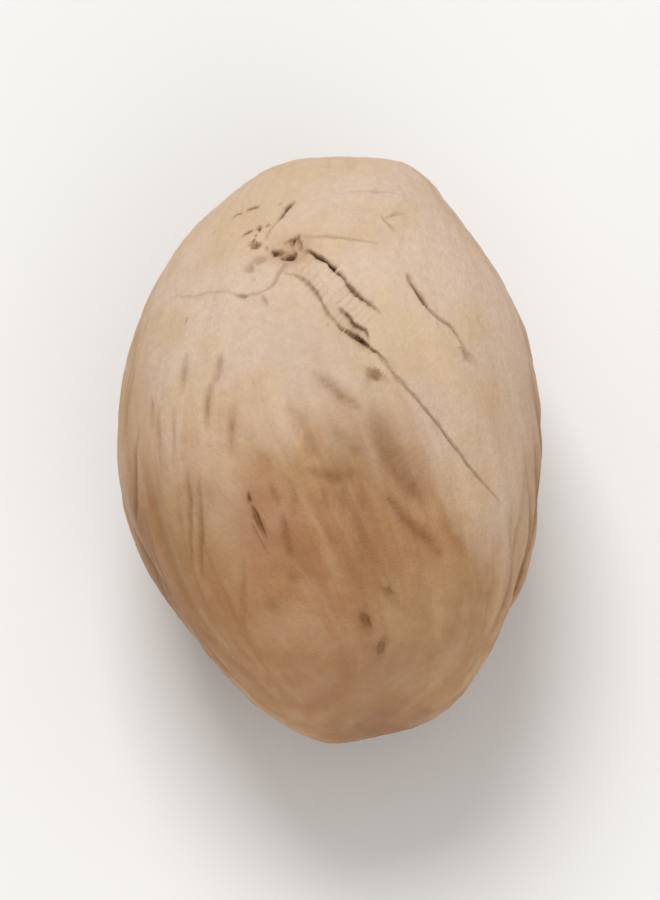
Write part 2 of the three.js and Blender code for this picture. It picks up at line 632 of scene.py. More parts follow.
    def furrow(self, here: Place, lines: Furrows) -> Wire:
        """One set of furrows.

        Args:
            here: the place.
            lines: the set.

        Returns:
            The furrows, from 0 on the pads between them to 1 along their lines.
        """
        line = lines.lines * (here.turn - self.swept(here))
        line = line + lines.from_hilum * self.fan(here) + (lines.twist * math.pi) * here.along
        for i, sway in enumerate(self.sways, 1):
            line = line + lines.sway * sway.share * self.wave(here, sway, i * lines.phase)
        patch = 1.0
        for shape in self.patches:
            patch = self.wave(here, shape, lines.phase) * patch
        section = (0.5 + 0.5 * line.cosine()) ** lines.sharp
        return (1 - self.patchy + self.patchy * patch) * section

    def flank(self, here: Place) -> Wire:
        """Goes from 0 on the smooth upper cheek to 1 on the kernel's far side."""
        return (1 - self.facing(here, self.smooth_turn)).rise(*self.smooth_edge)

    def hidden(self, here: Place) -> Wire:
        """How far a place is out of sight from above.

        Args:
            here: the place.

        Returns:
            A number from 0 on the upper side and the narrow tip to 1 on the underside.
        """
        _, y, z = here.way.split()
        narrow = y.at_most(0.0)
        uneven = (here.way * self.half).noise(self.hidden_uneven)
        return (uneven - z - self.tip_shown * narrow * narrow).rise(*self.hidden_edge)

    def from_scar(self, here: Place, scar: Scar) -> Wire:
        """The distance over the skin to a scar."""
        around, up = self.offset(here, scar.spot)
        return (around * around + up * up).root()

    def furrow_strength(self, here: Place) -> Wire:
        """How strongly the furrows show.

        Args:
            here: the place.

        Returns:
            A number from 0 to 1.
        """
        start = self.from_scar(here, self.hilum).rise(*self.furrow_start)
        end = here.turn.plan.maths("ABSOLUTE", here.along).fall(*self.furrow_end)
        strength = self.faintest + (1 - self.faintest) * self.flank(here)
        return (strength + self.hollow_furrowed * self.in_hollow(here)).clamp() * start * end

    def raphe(self, here: Place) -> Wire:
        """The raphe's groove, which winds from the hilum to the chalaza.

        Args:
            here: the place.

        Returns:
            The groove, from 0 off it to 1 along its middle.
        """
        share = self.gone(here)
        start, end = self.hilum.spot, self.chalaza.spot
        whole = end.turn - start.turn
        around, _ = self.offset(here, Spot(start.turn + whole * share**self.raphe_bend, 0.0))
        length = (start.along - end.along) * self.half[1]
        slant = (whole * self.raphe_bend * self.girth / length) * share ** (self.raphe_bend - 1)
        aside = around / (1 + slant * slant).root()
        ends = share.rise(*self.raphe_start) * share.fall(*self.raphe_end)
        return ends * (aside / self.raphe_width).bell()

    def scar_height(self, here: Place, scar: Scar) -> Wire:
        """The height of a scar's pit and collar over the body.

        Args:
            here: the place.
            scar: the scar.

        Returns:
            The height, which is less than 0 in the pit.
        """
        distance = self.from_scar(here, scar)
        pit = (distance / scar.radius).bell()
        return scar.rise * (distance / scar.collar).bell() - (scar.depth + scar.rise) * pit

    def relief(self, here: Place) -> tuple[Wire, Wire]:
        """How far the skin stands proud of the smooth body.

        Args:
            here: the place.

        Returns:
            The height, and the depth of the furrows alone as a share of the deepest.
        """
        deepest = self.furrows[0].depth
        first, second = (lines.depth / deepest * self.furrow(here, lines) for lines in self.furrows)
        grooves = self.furrow_strength(here) * first.at_least(second)
        height = 0 - deepest * grooves - self.raphe_depth * self.raphe(here)
        for lump in self.lumps:
            height = height + lump.share * (1 - here.along * here.along) * self.wave(here, lump, lump.phase)
        for scar in (self.hilum, self.chalaza):
            height = height + self.scar_height(here, scar)
        return height - self.hollow_depth * self.in_hollow(here), grooves

    def grain(self, here: Place) -> Wire:
        """Measures a place along the grain, on a tube that narrows softly towards the kernel's tips.

        Args:
            here: the place.

        Returns:
            The point of the tube.
        """
        main = self.furrows[0]
        fan = self.fan(here)
        below = 0.5 + 0.5 * fan.cosine()
        line = here.turn + fan * below * (main.from_hilum / main.lines) - self.swept(here)
        radius = self.girth * here.ring**self.grain_narrowing
        return line.plan.join(line.sine() * radius, here.along * self.half[1], line.cosine() * radius)

    def grained(self, here: Place) -> Wire:
        """Goes from 0 in the hilum and at the tips, where the grain's lines meet, to 1 away from them."""
        clear = self.from_scar(here, self.hilum).rise(*self.grained_edge)
        return clear * here.ring.rise(*self.grained_ring_edge)


# --- Cracks and folds ---------------------------------------------------------------------------------------


class CrackKind(Enum):
    """Kinds of crack: half its width, its depth, and how dark it is, partly with painted shade."""

    GAPING = (0.085, 0.3, 1.0)
    SHORT = (0.07, 0.15, 0.8)
    SEAM = (0.05, 0.1, 0.58)
    HAIR = (0.05, 0.05, 0.42)
    FAINT = (0.05, 0.03, 0.26)
    NICK = (0.085, 0.12, 0.64)
    PIT = (0.14, 0.2, 0.74)
    HOLE = (0.15, 0.24, 0.88)
    DENT = (0.16, 0.12, 0.5)
    DIMPLE = (0.22, 0.09, 0.5)
    HOLLOW = (0.2, 0.16, 0.68)

    @property
    def sizes(self) -> dict[str, float]:
        """Its sizes by name."""
        return dict(zip(("half_width", "depth", "dark"), self.value))


@dataclass(frozen=True)
class Crack:
    """A crack through a few stops, each a turn in degrees and a share along the kernel."""

    kind: CrackKind
    route: Route


@dataclass(frozen=True)
class Marks:
    """Lines over the skin, through stops that are each a turn in degrees and a share along the kernel.

    Each line's points lie about a step apart. Its sizes swell from its ends to its middle as a sine to the
    power of fullness does. Its depth starts from nothing, and the others start from their end share.
    """

    form: KernelForm
    step: float = 0.12
    fullness: float = 0.6
    end_share: float = 0.45

    def points(self, route: Route) -> list[Vector]:
        """Sets a smooth line of points through a route's stops, on the even ellipsoid.

        Args:
            route: the stops.

        Returns:
            The points, about a step apart.
        """
        stops = [self.form.even(self.form.way(Spot.at(*stop))) for stop in route]
        stops = [2 * stops[0] - stops[1], *stops, 2 * stops[-1] - stops[-2]]
        made = [stops[1]]
        for a, b, c, d in zip(stops, stops[1:], stops[2:], stops[3:]):
            count = max(1, round((c - b).length / self.step))
            for i in range(1, count + 1):
                # A Catmull-Rom curve's point, a share t of the way from b to c.
                t = i / count
                bend = (2 * a - 5 * b + 4 * c - d) * t * t + (3 * b - a - 3 * c + d) * t**3
                made.append(b + 0.5 * ((c - a) * t + bend))
        scale = Vector(1 / h for h in self.form.half)
        return [self.form.even((p * scale).normalized()) for p in made]

    def draw(self, name: str, marks: list[tuple[Route, dict[str, float]]]) -> bpy.types.Object:
        """Makes marks as lines of edges whose points carry each mark's sizes, which taper towards its ends.

        Args:
            name: the object's name.
            marks: the route of each mark, and its sizes by name.

        Returns:
            An object for the kernel's node tree to read, which is removed afterwards.
        """
        places: list[Vector] = []
        edges: list[tuple[int, int]] = []
        sizes: dict[str, list[float]] = {size: [] for size in marks[0][1]}
        for route, given in marks:
            line = self.points(route)
            edges += [(len(places) + i, len(places) + i + 1) for i in range(len(line) - 1)]
            places += line
            for i in range(len(line)):
                share = math.sin(math.pi * (i + 0.5) / len(line)) ** self.fullness
                blunt = self.end_share + (1 - self.end_share) * share
                for size, full in given.items():
                    sizes[size].append(full * (share if size == "depth" else blunt))
        mesh = bpy.data.meshes.new(name)
        mesh.from_pydata([tuple(p) for p in places], edges, [])
        for size, values in sizes.items():
            mesh.attributes.new(size, "FLOAT", "POINT").data.foreach_set("value", values)
        return new_object(name, mesh)


@dataclass(frozen=True)
class CrackWork(Marks):
    """All the cracks: those round the hilum, the raphe's, and finer ones over the rest of the skin."""

    cracks: tuple[Crack, ...] = (
        # The two that gape, from the hilum towards the right.
        Crack(CrackKind.GAPING, ((-8, 0.37), (-3.5, 0.32), (1, 0.27), (4, 0.23))),
        Crack(CrackKind.SHORT, ((1, 0.27), (3.5, 0.235), (6, 0.19), (9, 0.165), (12.5, 0.13))),
        Crack(CrackKind.SEAM, ((-13, 0.28), (-9, 0.26), (-5, 0.21), (-2.5, 0.165), (0, 0.11), (3.5, 0.07))),
        Crack(CrackKind.GAPING, ((4.5, 0.06), (7, 0.04), (10.5, 0.01))),
        Crack(CrackKind.SHORT, ((1, 0.095), (4, 0.065), (10, 0.015), (15, -0.04))),
        Crack(CrackKind.SHORT, ((2, 0.135), (4.5, 0.11), (6.5, 0.08), (9, 0.06), (10, 0.03))),
        # The raphe's seam carries the second one on.
        Crack(CrackKind.SEAM, ((12, -0.01), (24, -0.14), (31, -0.21), (37, -0.27), (45, -0.33), (56, -0.37))),
        # Short ones about the broad end.
        Crack(CrackKind.SHORT, ((20.5, 0.28), (23, 0.225), (26, 0.18), (29.5, 0.14))),
        Crack(CrackKind.SEAM, ((26, 0.18), (30, 0.14), (34, 0.12), (38, 0.06))),
        Crack(CrackKind.DENT, ((37, 0.06), (39.5, 0.035))),
        Crack(CrackKind.SHORT, ((-14, 0.57), (-15.5, 0.53), (-17.5, 0.485))),
        Crack(CrackKind.HAIR, ((-17, 0.49), (-19, 0.46), (-20, 0.42))),
        Crack(CrackKind.HAIR, ((-8, 0.415), (-1, 0.4), (5, 0.395), (12, 0.385))),
        Crack(CrackKind.HAIR, ((14, 0.505), (15.5, 0.48), (18, 0.45))),
        Crack(CrackKind.HAIR, ((15.5, 0.5), (18, 0.52), (21, 0.53))),
        Crack(CrackKind.FAINT, ((4, 0.61), (11.5, 0.62), (22, 0.625))),
        Crack(CrackKind.HAIR, ((-13.5, 0.34), (-14.5, 0.28), (-16, 0.23), (-20, 0.21), (-23, 0.21))),
        Crack(CrackKind.SEAM, ((-21.5, 0.21), (-24, 0.21), (-26.5, 0.22))),
        Crack(CrackKind.FAINT, ((-26, 0.22), (-34, 0.26), (-42, 0.27), (-50, 0.31))),
        Crack(CrackKind.HAIR, ((-19, 0.2), (-17, 0.16))),
        Crack(CrackKind.NICK, ((-26.5, -0.465), (-26.1, -0.485), (-25.8, -0.515), (-24.8, -0.555))),
        Crack(CrackKind.NICK, ((-26.9, -0.43), (-27.1, -0.45))),
        Crack(CrackKind.FAINT, ((-27.8, -0.52), (-26.8, -0.57), (-25.6, -0.605))),
        # Small pits and dents.
        Crack(CrackKind.HOLE, ((-17.2, 0.375), (-15.6, 0.37))),
        Crack(CrackKind.HOLE, ((-14.3, 0.355), (-12.5, 0.36), (-11.5, 0.37))),
        Crack(CrackKind.PIT, ((-13, 0.41), (-11.2, 0.412))),
        Crack(CrackKind.SEAM, ((-14.5, 0.405), (-12, 0.415), (-10, 0.4), (-9.5, 0.38))),
        Crack(CrackKind.PIT, ((-23.8, 0.405), (-22.6, 0.4))),
        Crack(CrackKind.DENT, ((-20.8, 0.335), (-19.8, 0.34))),
        Crack(CrackKind.DENT, ((-24.2, 0.31), (-22.8, 0.305))),
        Crack(CrackKind.SHORT, ((-35, 0.565), (-33, 0.572))),
        Crack(CrackKind.SHORT, ((-30.5, 0.58), (-27.5, 0.583))),
        Crack(CrackKind.SHORT, ((-28, 0.46), (-26, 0.47))),
        Crack(CrackKind.SHORT, ((-23.6, 0.48), (-23, 0.46))),
        Crack(CrackKind.HOLLOW, ((10.5, -0.06), (12.5, -0.08), (14, -0.088))),
        Crack(CrackKind.DIMPLE, ((16, -0.714), (19, -0.722))),
        Crack(CrackKind.DENT, ((6.5, -0.778), (10, -0.81))),
        Crack(CrackKind.DENT, ((17, -0.84), (17, -0.88))),
        # On the sides and the back, which lie away from the hilum.
        Crack(CrackKind.HAIR, ((-84, 0.55), (-90, 0.4), (-93, 0.22), (-99, 0.1))),
        Crack(CrackKind.SHORT, ((-118, 0.1), (-121, -0.02), (-119, -0.12))),
        Crack(CrackKind.SHORT, ((-150, 0.45), (-158, 0.33), (-163, 0.25))),
        Crack(CrackKind.HAIR, ((88, 0.5), (94, 0.36), (92, 0.2), (97, 0.06))),
        Crack(CrackKind.SHORT, ((112, 0.28), (117, 0.2), (116, 0.1))),
        Crack(CrackKind.SEAM, ((96, -0.44), (112, -0.54), (124, -0.66), (136, -0.8))),
        Crack(CrackKind.SHORT, ((171, 0.62), (178, 0.5), (181, 0.4))),
        Crack(CrackKind.SHORT, ((120, 0.84), (150, 0.82), (168, 0.76))),
    )

    def build(self) -> bpy.types.Object:
        """Draws the cracks, with each one's half width, depth and darkness."""
        return self.draw("crack_lines", [(crack.route, crack.kind.sizes) for crack in self.cracks])


@dataclass(frozen=True)
class Fold:
    """A soft groove: its half width, how strong it is, and its route."""

    half_width: float
    strength: float
    route: Route

    @property
    def sizes(self) -> dict[str, float]:
        """Its sizes by name."""
        return {"half_width": self.half_width, "strength": self.strength}


@dataclass(frozen=True)
class FoldWork(Marks):
    """The soft grooves on the upper side and the flanks."""

    folds: tuple[Fold, ...] = (
        # Slanting ones below the raphe.
        Fold(0.26, 0.9, ((-4, -0.085), (0, -0.125), (7.5, -0.195))),
        Fold(0.28, 0.9, ((15, -0.455), (25, -0.53), (36, -0.59))),
        Fold(0.3, 0.4, ((33, -0.45), (44, -0.57))),
        Fold(0.27, 0.62, ((-8, -0.38), (-3.6, -0.394), (0.5, -0.407), (4.4, -0.404))),
        Fold(0.17, 0.4, ((-3.3, -0.44), (-3.3, -0.49))),
        Fold(0.17, 0.4, ((2.3, -0.44), (2.2, -0.5))),
        Fold(0.17, 0.4, ((7.4, -0.445), (8.2, -0.51))),
        Fold(0.36, 0.6, ((-10, -0.2), (-7.2, -0.275), (-6, -0.33))),
        Fold(0.38, 0.55, ((1, -0.26), (8, -0.335))),
        Fold(0.6, 0.6, ((11, -0.19), (17, -0.33), (28, -0.46))),
        Fold(0.3, 0.35, ((-11.5, -0.16), (-10, -0.27))),
        # Upright ones on the left.
        Fold(0.26, 0.7, ((-42, 0.06), (-43.5, -0.06))),
        Fold(0.26, 0.8, ((-30.5, 0.02), (-32, -0.06))),
        Fold(0.22, 0.8, ((-32.5, -0.06), (-34.5, -0.1), (-36, -0.2))),
        Fold(0.2, 0.6, ((-28, -0.16), (-29, -0.26), (-29.7, -0.3))),
        Fold(0.16, 0.7, ((-45, -0.31), (-50, -0.46), (-56, -0.56))),
        Fold(0.16, 0.7, ((-41.5, -0.34), (-47, -0.49), (-55, -0.61))),
        Fold(0.26, 0.9, ((-64, -0.1), (-73, -0.26), (-84, -0.34))),
        Fold(0.18, 0.6, ((-57, -0.02), (-57, -0.12))),
        Fold(0.18, 0.45, ((-54, -0.06), (-56, -0.27))),
        Fold(0.18, 0.5, ((-47.5, -0.1), (-48.4, -0.24))),
        Fold(0.2, 0.5, ((-35, -0.6), (-48, -0.76))),
        # Short ones beside the crack on the lower left, and small hollows below it.
        Fold(0.18, 0.7, ((-19.5, -0.42), (-18.3, -0.475))),
        Fold(0.2, 0.75, ((-17.8, -0.51), (-17.8, -0.556), (-18, -0.62))),
        Fold(0.16, 0.4, ((-13, -0.41), (-14.5, -0.51))),
        Fold(0.28, 0.6, ((-19.7, -0.668), (-18.7, -0.686))),
        Fold(0.3, 0.6, ((-33, -0.735), (-31, -0.745))),
        # Longer ones on the sides.
        Fold(0.3, 0.6, ((-96, 0.3), (-92, 0.1), (-97, -0.12))),
        Fold(0.3, 0.6, ((84, 0.1), (92, -0.1), (98, -0.32))),
        Fold(0.26, 0.5, ((72, 0.34), (80, 0.1))),
    )

    def build(self) -> bpy.types.Object:
        """Draws the grooves, with each one's half width and strength."""
        return self.draw("fold_lines", [(fold.route, fold.sizes) for fold in self.folds])


# --- Patterns that the mesh and the finish share ------------------------------------------------------------


@dataclass(frozen=True)
class Net:
    """A net of fine grooves: its cells' breadth and length, the grooves' width and depth, and its wander.

    It wanders so far to and fro, in so many lumps to a cell's breadth.
    """

    across: float
    length: float
    width: float
    depth: float
    wander: float
    lumps: float = 0.45

    def lines(self, grain: Wire) -> Wire:
        """The net, from 0 on the pads to 1 along its grooves.

        Args:
            grain: the place along the grain.

        Returns:
            The net.
        """
        moved = grain.drift(Drift(self.lumps / self.across, self.wander, 1.0))
        cell = (1 / self.across, 1 / self.length, 1 / self.across)
        return ((moved * cell).seams() / self.width).fade()


@dataclass(frozen=True)
class Pores:
    """Small pits and dark points, one to a cell at most. The rim and the least size are in cells."""

    cell: float
    radius: float
    share: float
    ragged: Drift = Drift(2.4, 0.12)
    stretch: Triple = (1.0, 0.7, 1.0)
    rim: float = 0.12
    least: float = 0.04

    def dots(self, where: Wire) -> Wire:
        """The points, from 0 off them to 1 in their middles.

        Args:
            where: the place on the even ellipsoid.

        Returns:
            The points.
        """
        distance, own = (where.drift(self.ragged) * self.stretch).spots(1 / self.cell)
        size = own.rise(1 - self.share, 1.0, 0.0, self.radius / self.cell)
        return (distance - size).fall(-self.rim, 0.0) * size.rise(0.0, self.least)


COARSE_NET = Net(across=2.1, length=9.0, width=0.1, depth=0.36, wander=0.8)
FINE_NET = Net(across=0.95, length=6.0, width=0.16, depth=0.06, wander=0.3)
END_NET = Net(across=2.0, length=2.0, width=0.13, depth=0.18, wander=1.1)
HAIR_NET = Net(across=0.42, length=2.4, width=0.2, depth=0.014, wander=0.2)
PORES = Pores(cell=1.3, radius=0.17, share=0.3)
SPECKS = Pores(cell=0.5, radius=0.15, share=0.6)


def coarse_grooves(where: Wire, grain: Wire, grained: Wire, behind: Wire) -> Wire:
    """The coarse net, which runs along the grain and turns to an even one at the ends of the underside.

    Args:
        where: the place on the even ellipsoid.
        grain: the place along the grain.
        grained: 0 where the lines of the grain meet, and 1 away from there.
        behind: 0 on the upper side, and 1 on the underside.

    Returns:
        The grooves, from 0 on the pads to 1 along them.
    """
    ends = END_NET.depth / COARSE_NET.depth * END_NET.lines(where) * (1 - grained) * behind
    return (COARSE_NET.lines(grain) * grained).at_least(ends)


@dataclass(frozen=True)
class Puckers:
    """Short ridges side by side, like a ladder's rungs, on a line of their own."""

    middle: Spot
    heading: float
    reach: float
    half_width: float
    spacing: float
    rise: float
    ruffle: Noise = Noise(1.1, strength=2.6)
    evenness: float = 0.8
    uneven: Noise = Noise(1.6, strength=0.6)

    def ridges(self, form: KernelForm, here: Place) -> Wire:
        """The ridges.

        Args:
            form: the kernel's form.
            here: the place.

        Returns:
            A number from 1 on their crests to -1 between them, and 0 off them.
        """
        around, up = form.offset(here, self.middle)
        onward = around * math.cos(self.heading) + up * math.sin(self.heading)
        aside = up * math.cos(self.heading) - around * math.sin(self.heading)
        where = here.way * form.half
        crest = (onward * (math.tau / self.spacing) + where.noise(self.ruffle)).sine()
        height = crest * (self.evenness + where.noise(self.uneven))
        return height * (onward / self.reach).bell() * (aside / self.half_width).bell()


PUCKERS = Puckers(
    middle=Spot.at(1.5, 0.18), heading=math.radians(-44), reach=2.0, half_width=0.75, spacing=0.34, rise=0.03
)


# --- The skin's mesh ----------------------------------------------------------------------------------------


@dataclass(frozen=True)
class KernelSkin:
    """The kernel's whole outer surface, as one fine mesh.

    Its faces are split once for each number in near, where they lie nearer than that to a crack.
    """

    form: KernelForm
    cracks: CrackWork
    folds: FoldWork
    rows: int = 92
    near: tuple[float, ...] = (0.6, 0.25)
    seed: float = 7.0
    net_depth: float = 1.0
    net_on_top: float = 0.12
    net_in_hollow: float = 0.15
    pore_depth: float = 0.07
    swell: Noise = Noise(0.5, 3.0, 0.6, strength=0.05)
    ripple: Noise = Noise(2.2, 3.0, 0.6, strength=0.012)
    crumbly_edge: Span = (0.6, 3.2)
    crumbs: Noise = Noise(1.9, 3.0, 0.65, strength=0.06)
    fold_depth: float = 0.13
    fold_bends: Drift = Drift(0.8, 0.16)
    crack_bends: tuple[Drift, ...] = (Drift(1.2, 0.09), Drift(3.5, 0.035))
    crack_uneven: Noise = Noise(1.5, strength=0.8)
    crack_least: float = 0.035
    crack_reach: float = 6.0
    gap_edge: Span = (0.4, 1.5)
    lip_height: float = 0.14
    lip_place: float = 2.2

    def ball(self) -> bmesh.types.BMesh:
        """Makes an even ball of quads, of radius 1.

        Returns:
            The ball.
        """
        bm = bmesh.new()
        bmesh.ops.create_cube(bm, size=2.0)
        bmesh.ops.subdivide_edges(bm, edges=bm.edges[:], cuts=self.rows - 1, use_grid_fill=True)
        for v in bm.verts:
            v.co = Vector(math.tan(c * math.pi / 4) for c in v.co).normalized()
        return bm

    def refine(self, bm: bmesh.types.BMesh) -> None:
        """Splits the ball's faces near the cracks, where the skin has its finest detail.

        Args:
            bm: the ball.
        """
        points = [point for crack in self.cracks.cracks for point in self.cracks.points(crack.route)]
        tree = KDTree(len(points))
        for i, point in enumerate(points):
            tree.insert(point, i)
        tree.balance()
        for reach in self.near:
            close = {v for v in bm.verts if tree.find(self.form.even(v.co))[2] < reach}
            edges = [e for e in bm.edges if e.verts[0] in close and e.verts[1] in close]
            bmesh.ops.subdivide_edges(bm, edges=edges, cuts=1, use_grid_fill=True)
            for v in bm.verts:
                v.co.normalize()

    def tree(self, finish: bpy.types.Material) -> bpy.types.NodeTree:
        """Builds the node tree that gives a ball the kernel's form.

        Args:
            finish: the skin's material.

        Returns:
            The tree, whose inputs are the ball, the kernel's sizes, the lines of its cracks and folds, and
            the seed of its nets.
        """
        tree = bpy.data.node_groups.new("kernel_form", "GeometryNodeTree")
        for name, kind in (
            ("Ball", "NodeSocketGeometry"),
            ("Size", "NodeSocketVector"),
            ("Rest depth", "NodeSocketFloat"),
            ("Net depth", "NodeSocketFloat"),
            ("Crack lines", "NodeSocketObject"),
            ("Fold lines", "NodeSocketObject"),
            ("Seed", "NodeSocketFloat"),
        ):
            tree.interface.new_socket(name=name, in_out="INPUT", socket_type=kind)
        tree.interface.new_socket(name="Kernel", in_out="OUTPUT", socket_type="NodeSocketGeometry")
        plan = Plan(tree)
        given = {s.name: Wire(plan, s) for s in plan.add("NodeGroupInput").outputs if s.name}

        shape = given["Ball"].store(way=plan.get("GeometryNodeInputPosition", 0))
        here = Place.under(plan.kept("way", "FLOAT_VECTOR"))
        height, furrow = self.form.relief(here)
        shape = shape.store(grain=self.form.grain(here), furrow=furrow)
        shape = shape.store(hidden=self.form.hidden(here), grained=self.form.grained(here))
        outward = plan.maths("NORMALIZE", here.way / self.form.half)
        shape = shape.move(Position=self.form.body(here) + outward * height)

        fold = self.near_fold(given["Fold lines"], here.way * self.form.half)
        shape = shape.store(fold=fold, pucker=PUCKERS.ridges(self.form, here))
        fine, crack, dark = self.fine_relief(given, here)
        shape = shape.store(crack=crack, dark=dark)
        shape = shape.move(Offset=plan.get("GeometryNodeInputNormal", 0) * fine)
        shape = self.fit(shape, given["Size"], given["Rest depth"])
        for kind, values in (
            ("GeometryNodeSetShadeSmooth", {}),
            ("GeometryNodeRealizeInstances", {}),
            ("GeometryNodeSetMaterial", {"Material": finish}),
        ):
            shape = plan.get(kind, 0, values={"Geometry": shape, **values})
        plan.add("NodeGroupOutput", values={0: shape})
        return tree

    def nearest(self, lines: Wire, where: Wire, *names: str) -> tuple[Wire, ...]:
        """Looks up the nearest of some marks.

        Args:
            lines: the marks' object.
            where: the place on the even ellipsoid.
            names: the sizes to read.

        Returns:
            The distance to the mark's middle, and its sizes.
        """
        plan = where.plan
        info = {"transform_space": "ORIGINAL"}
        found = plan.get("GeometryNodeObjectInfo", "Geometry", info, {"Object": lines})
        sockets = {0: found, "Sample Position": where}
        distance = plan.get("GeometryNodeProximity", "Distance", {"target_element": "EDGES"}, sockets)
        index = plan.get("GeometryNodeSampleNearest", 0, values=sockets)
        settings = {"data_type": "FLOAT", "domain": "POINT"}
        sizes = []
        for name in names:
            sockets = {0: found, 1: plan.kept(name), "Index": index}
            sizes.append(plan.get("GeometryNodeSampleIndex", 0, settings, sockets))
        return distance, *sizes

    def near_fold(self, lines: Wire, where: Wire) -> Wire:
        """Looks up the nearest soft groove.

        Args:
            lines: the fold lines' object.
            where: the place on the even ellipsoid.

        Returns:
            A number from 0 off the grooves to each one's strength along its middle.
        """
        moved = where.drift(self.fold_bends)
        distance, width, strength = self.nearest(lines, moved, "half_width", "strength")
        return strength * (distance / width).bell()

    def near_crack(self, lines: Wire, where: Wire) -> tuple[Wire, Wire, Wire]:
        """Looks up the nearest crack.

        Args:
            lines: the crack lines' object.
            where: the place on the even ellipsoid.

        Returns:
            The distance to its middle in half widths, its depth, and how dark it is.
        """
        moved = where.drift(*self.crack_bends)
        distance, width, depth, dark = self.nearest(lines, moved, "half_width", "depth", "dark")
        half_width = (width * (1.0 + where.noise(self.crack_uneven))).at_least(self.crack_least)
        return (distance / half_width).at_most(self.crack_reach), depth, dark

    def fine_relief(self, given: dict[str, Wire], here: Place) -> tuple[Wire, Wire, Wire]:
        """The relief that is finer than the solid's: nets of grooves, pores, cracks and an uneven skin.

        Args:
            given: the tree's inputs by name.
            here: the place.

        Returns:
            Its height, the distance to the nearest crack in half widths, and how dark that crack is.
        """
        plan = here.way.plan
        where = here.way * self.form.half
        grain = plan.kept("grain", "FLOAT_VECTOR") + given["Seed"]
        behind, grained = plan.kept("hidden"), plan.kept("grained")
        strength = self.net_on_top + (1 - self.net_on_top) * behind
        strength = strength + self.net_in_hollow * self.form.in_hollow(here)
        grooves = COARSE_NET.depth * coarse_grooves(where, grain, grained, behind)
        grooves = grooves + FINE_NET.depth * FINE_NET.lines(grain) * grained
        height = 0 - grooves * strength * given["Net depth"]
        height = height - self.pore_depth * PORES.dots(where)
        height = height + where.noise(self.swell) + grain.noise(self.ripple)

        crumbly = self.form.from_scar(here, self.form.hilum).fall(*self.crumbly_edge)
        height = height + crumbly * where.noise(self.crumbs)
        height = height + PUCKERS.rise * plan.kept("pucker") - self.fold_depth * plan.kept("fold")

        ratio, depth, dark = self.near_crack(given["Crack lines"], where)
        lip = self.lip_height * (ratio - self.lip_place).bell()
        return height + depth * (lip - ratio.fall(*self.gap_edge)), ratio, dark

    def fit(self, shape: Wire, size: Wire, rest_depth: Wire) -> Wire:
        """Brings the kernel to its size over the origin, wears its belly flat, and turns it to metres.

        Args:
            shape: the kernel.
            size: its reach along each axis, with what the belly loses.
            rest_depth: how deep the belly's flat is.

        Returns:
            The kernel in metres.
        """
        plan = shape.plan
        box = plan.add("GeometryNodeBoundBox", values={"Geometry": shape})
        low, high = Wire(plan, box.outputs["Min"]), Wire(plan, box.outputs["Max"])
        place = plan.get("GeometryNodeInputPosition", 0)
        x, y, z = ((place - (low + high) * 0.5) / (high - low) * size).split()
        above = (z + size.split()[2] * 0.5 - rest_depth).at_least(0.0)
        return shape.move(Position=plan.join(x, y, above) * METRES)

    def build(self, finish: bpy.types.Material) -> bpy.types.Object:
        """Makes the skin's piece.

        Args:
            finish: its material.

        Returns:
            The piece, as a plain mesh.
        """
        bm = self.ball()
        self.refine(bm)
        mesh = bpy.data.meshes.new("ball")
        bm.to_mesh(mesh)
        bm.free()
        ball, crack_lines, fold_lines = new_object("ball", mesh), self.cracks.build(), self.folds.build()
        inputs = {
            "Size": tuple(2 * h for h in self.form.half),
            "Rest depth": self.form.rest_depth,
            "Net depth": self.net_depth,
            "Crack lines": crack_lines,
            "Fold lines": fold_lines,
            "Seed": self.seed,
        }
        skin = grown(ball, self.tree(finish), inputs, "nutmeg_skin")
        for helper in (ball, crack_lines, fold_lines):
            bpy.data.objects.remove(helper)
        return skin


def grown(
    base: bpy.types.Object, tree: bpy.types.NodeTree, inputs: dict[str, object], name: str
) -> bpy.types.Object:
    """Runs a geometry node tree on an object and keeps the result as a plain mesh.

    Args:
        base: the object that the tree starts from.
        tree: the tree.
        inputs: the tree's inputs, by name.
        name: the new piece's name.

    Returns:
        The new piece.
    """
    modifier = base.modifiers.new(tree.name, "NODES")
    modifier.node_group = tree
    for item in tree.interface.items_tree:
        if item.in_out == "INPUT" and item.name in inputs:
            modifier[item.identifier] = inputs[item.name]
    ready = base.evaluated_get(bpy.context.evaluated_depsgraph_get())
    mesh = bpy.data.meshes.new_from_object(ready)
    base.modifiers.remove(modifier)
    mesh.name = name
    return new_object(name, mesh)


# --- The skin's finish --------------------------------------------------------------------------------------


@dataclass(frozen=True)
class Stain:
    """A soft patch of colour: its middle, its reach round and along the kernel, colour and strength."""

    middle: Spot
    reach: Span
    colour: Colour
    strength: float


@dataclass(frozen=True)
class Cast:
    """A hue that comes and goes over the bare skin: its colour, its noise, and how far that is moved."""

    colour: Colour
    noise: Noise
    apart: float


@dataclass(frozen=True)
class Patterns:
    """What the finish follows, as wires of its material's tree.

    Beside the place itself, where is its point on the even ellipsoid and grain is its point along the
    grain. Behind is 1 on the underside, bare is 1 where the bloom is gone, streak and mottle are noise,
    coarse and fine are the nets, and worn is how much of the bare skin's colour shows.
    """

    here: Place
    where: Wire
    grain: Wire
    behind: Wire
    bare: Wire
    streak: Wire
    mottle: Wire
    coarse: Wire
    fine: Wire
    worn: Wire


class Shown(NamedTuple):
    """How strongly a crease darkens, partly with painted shade: anywhere, and more when bare or on the
    underside.
    """

    anywhere: float
    bare: float
    behind: float

    def darkening(self, crease: Wire, seen: Patterns) -> Wire:
        """What a crease adds to the darkening, partly painted shade."""
        return crease * (self.anywhere + self.bare * seen.bare + self.behind * seen.behind)


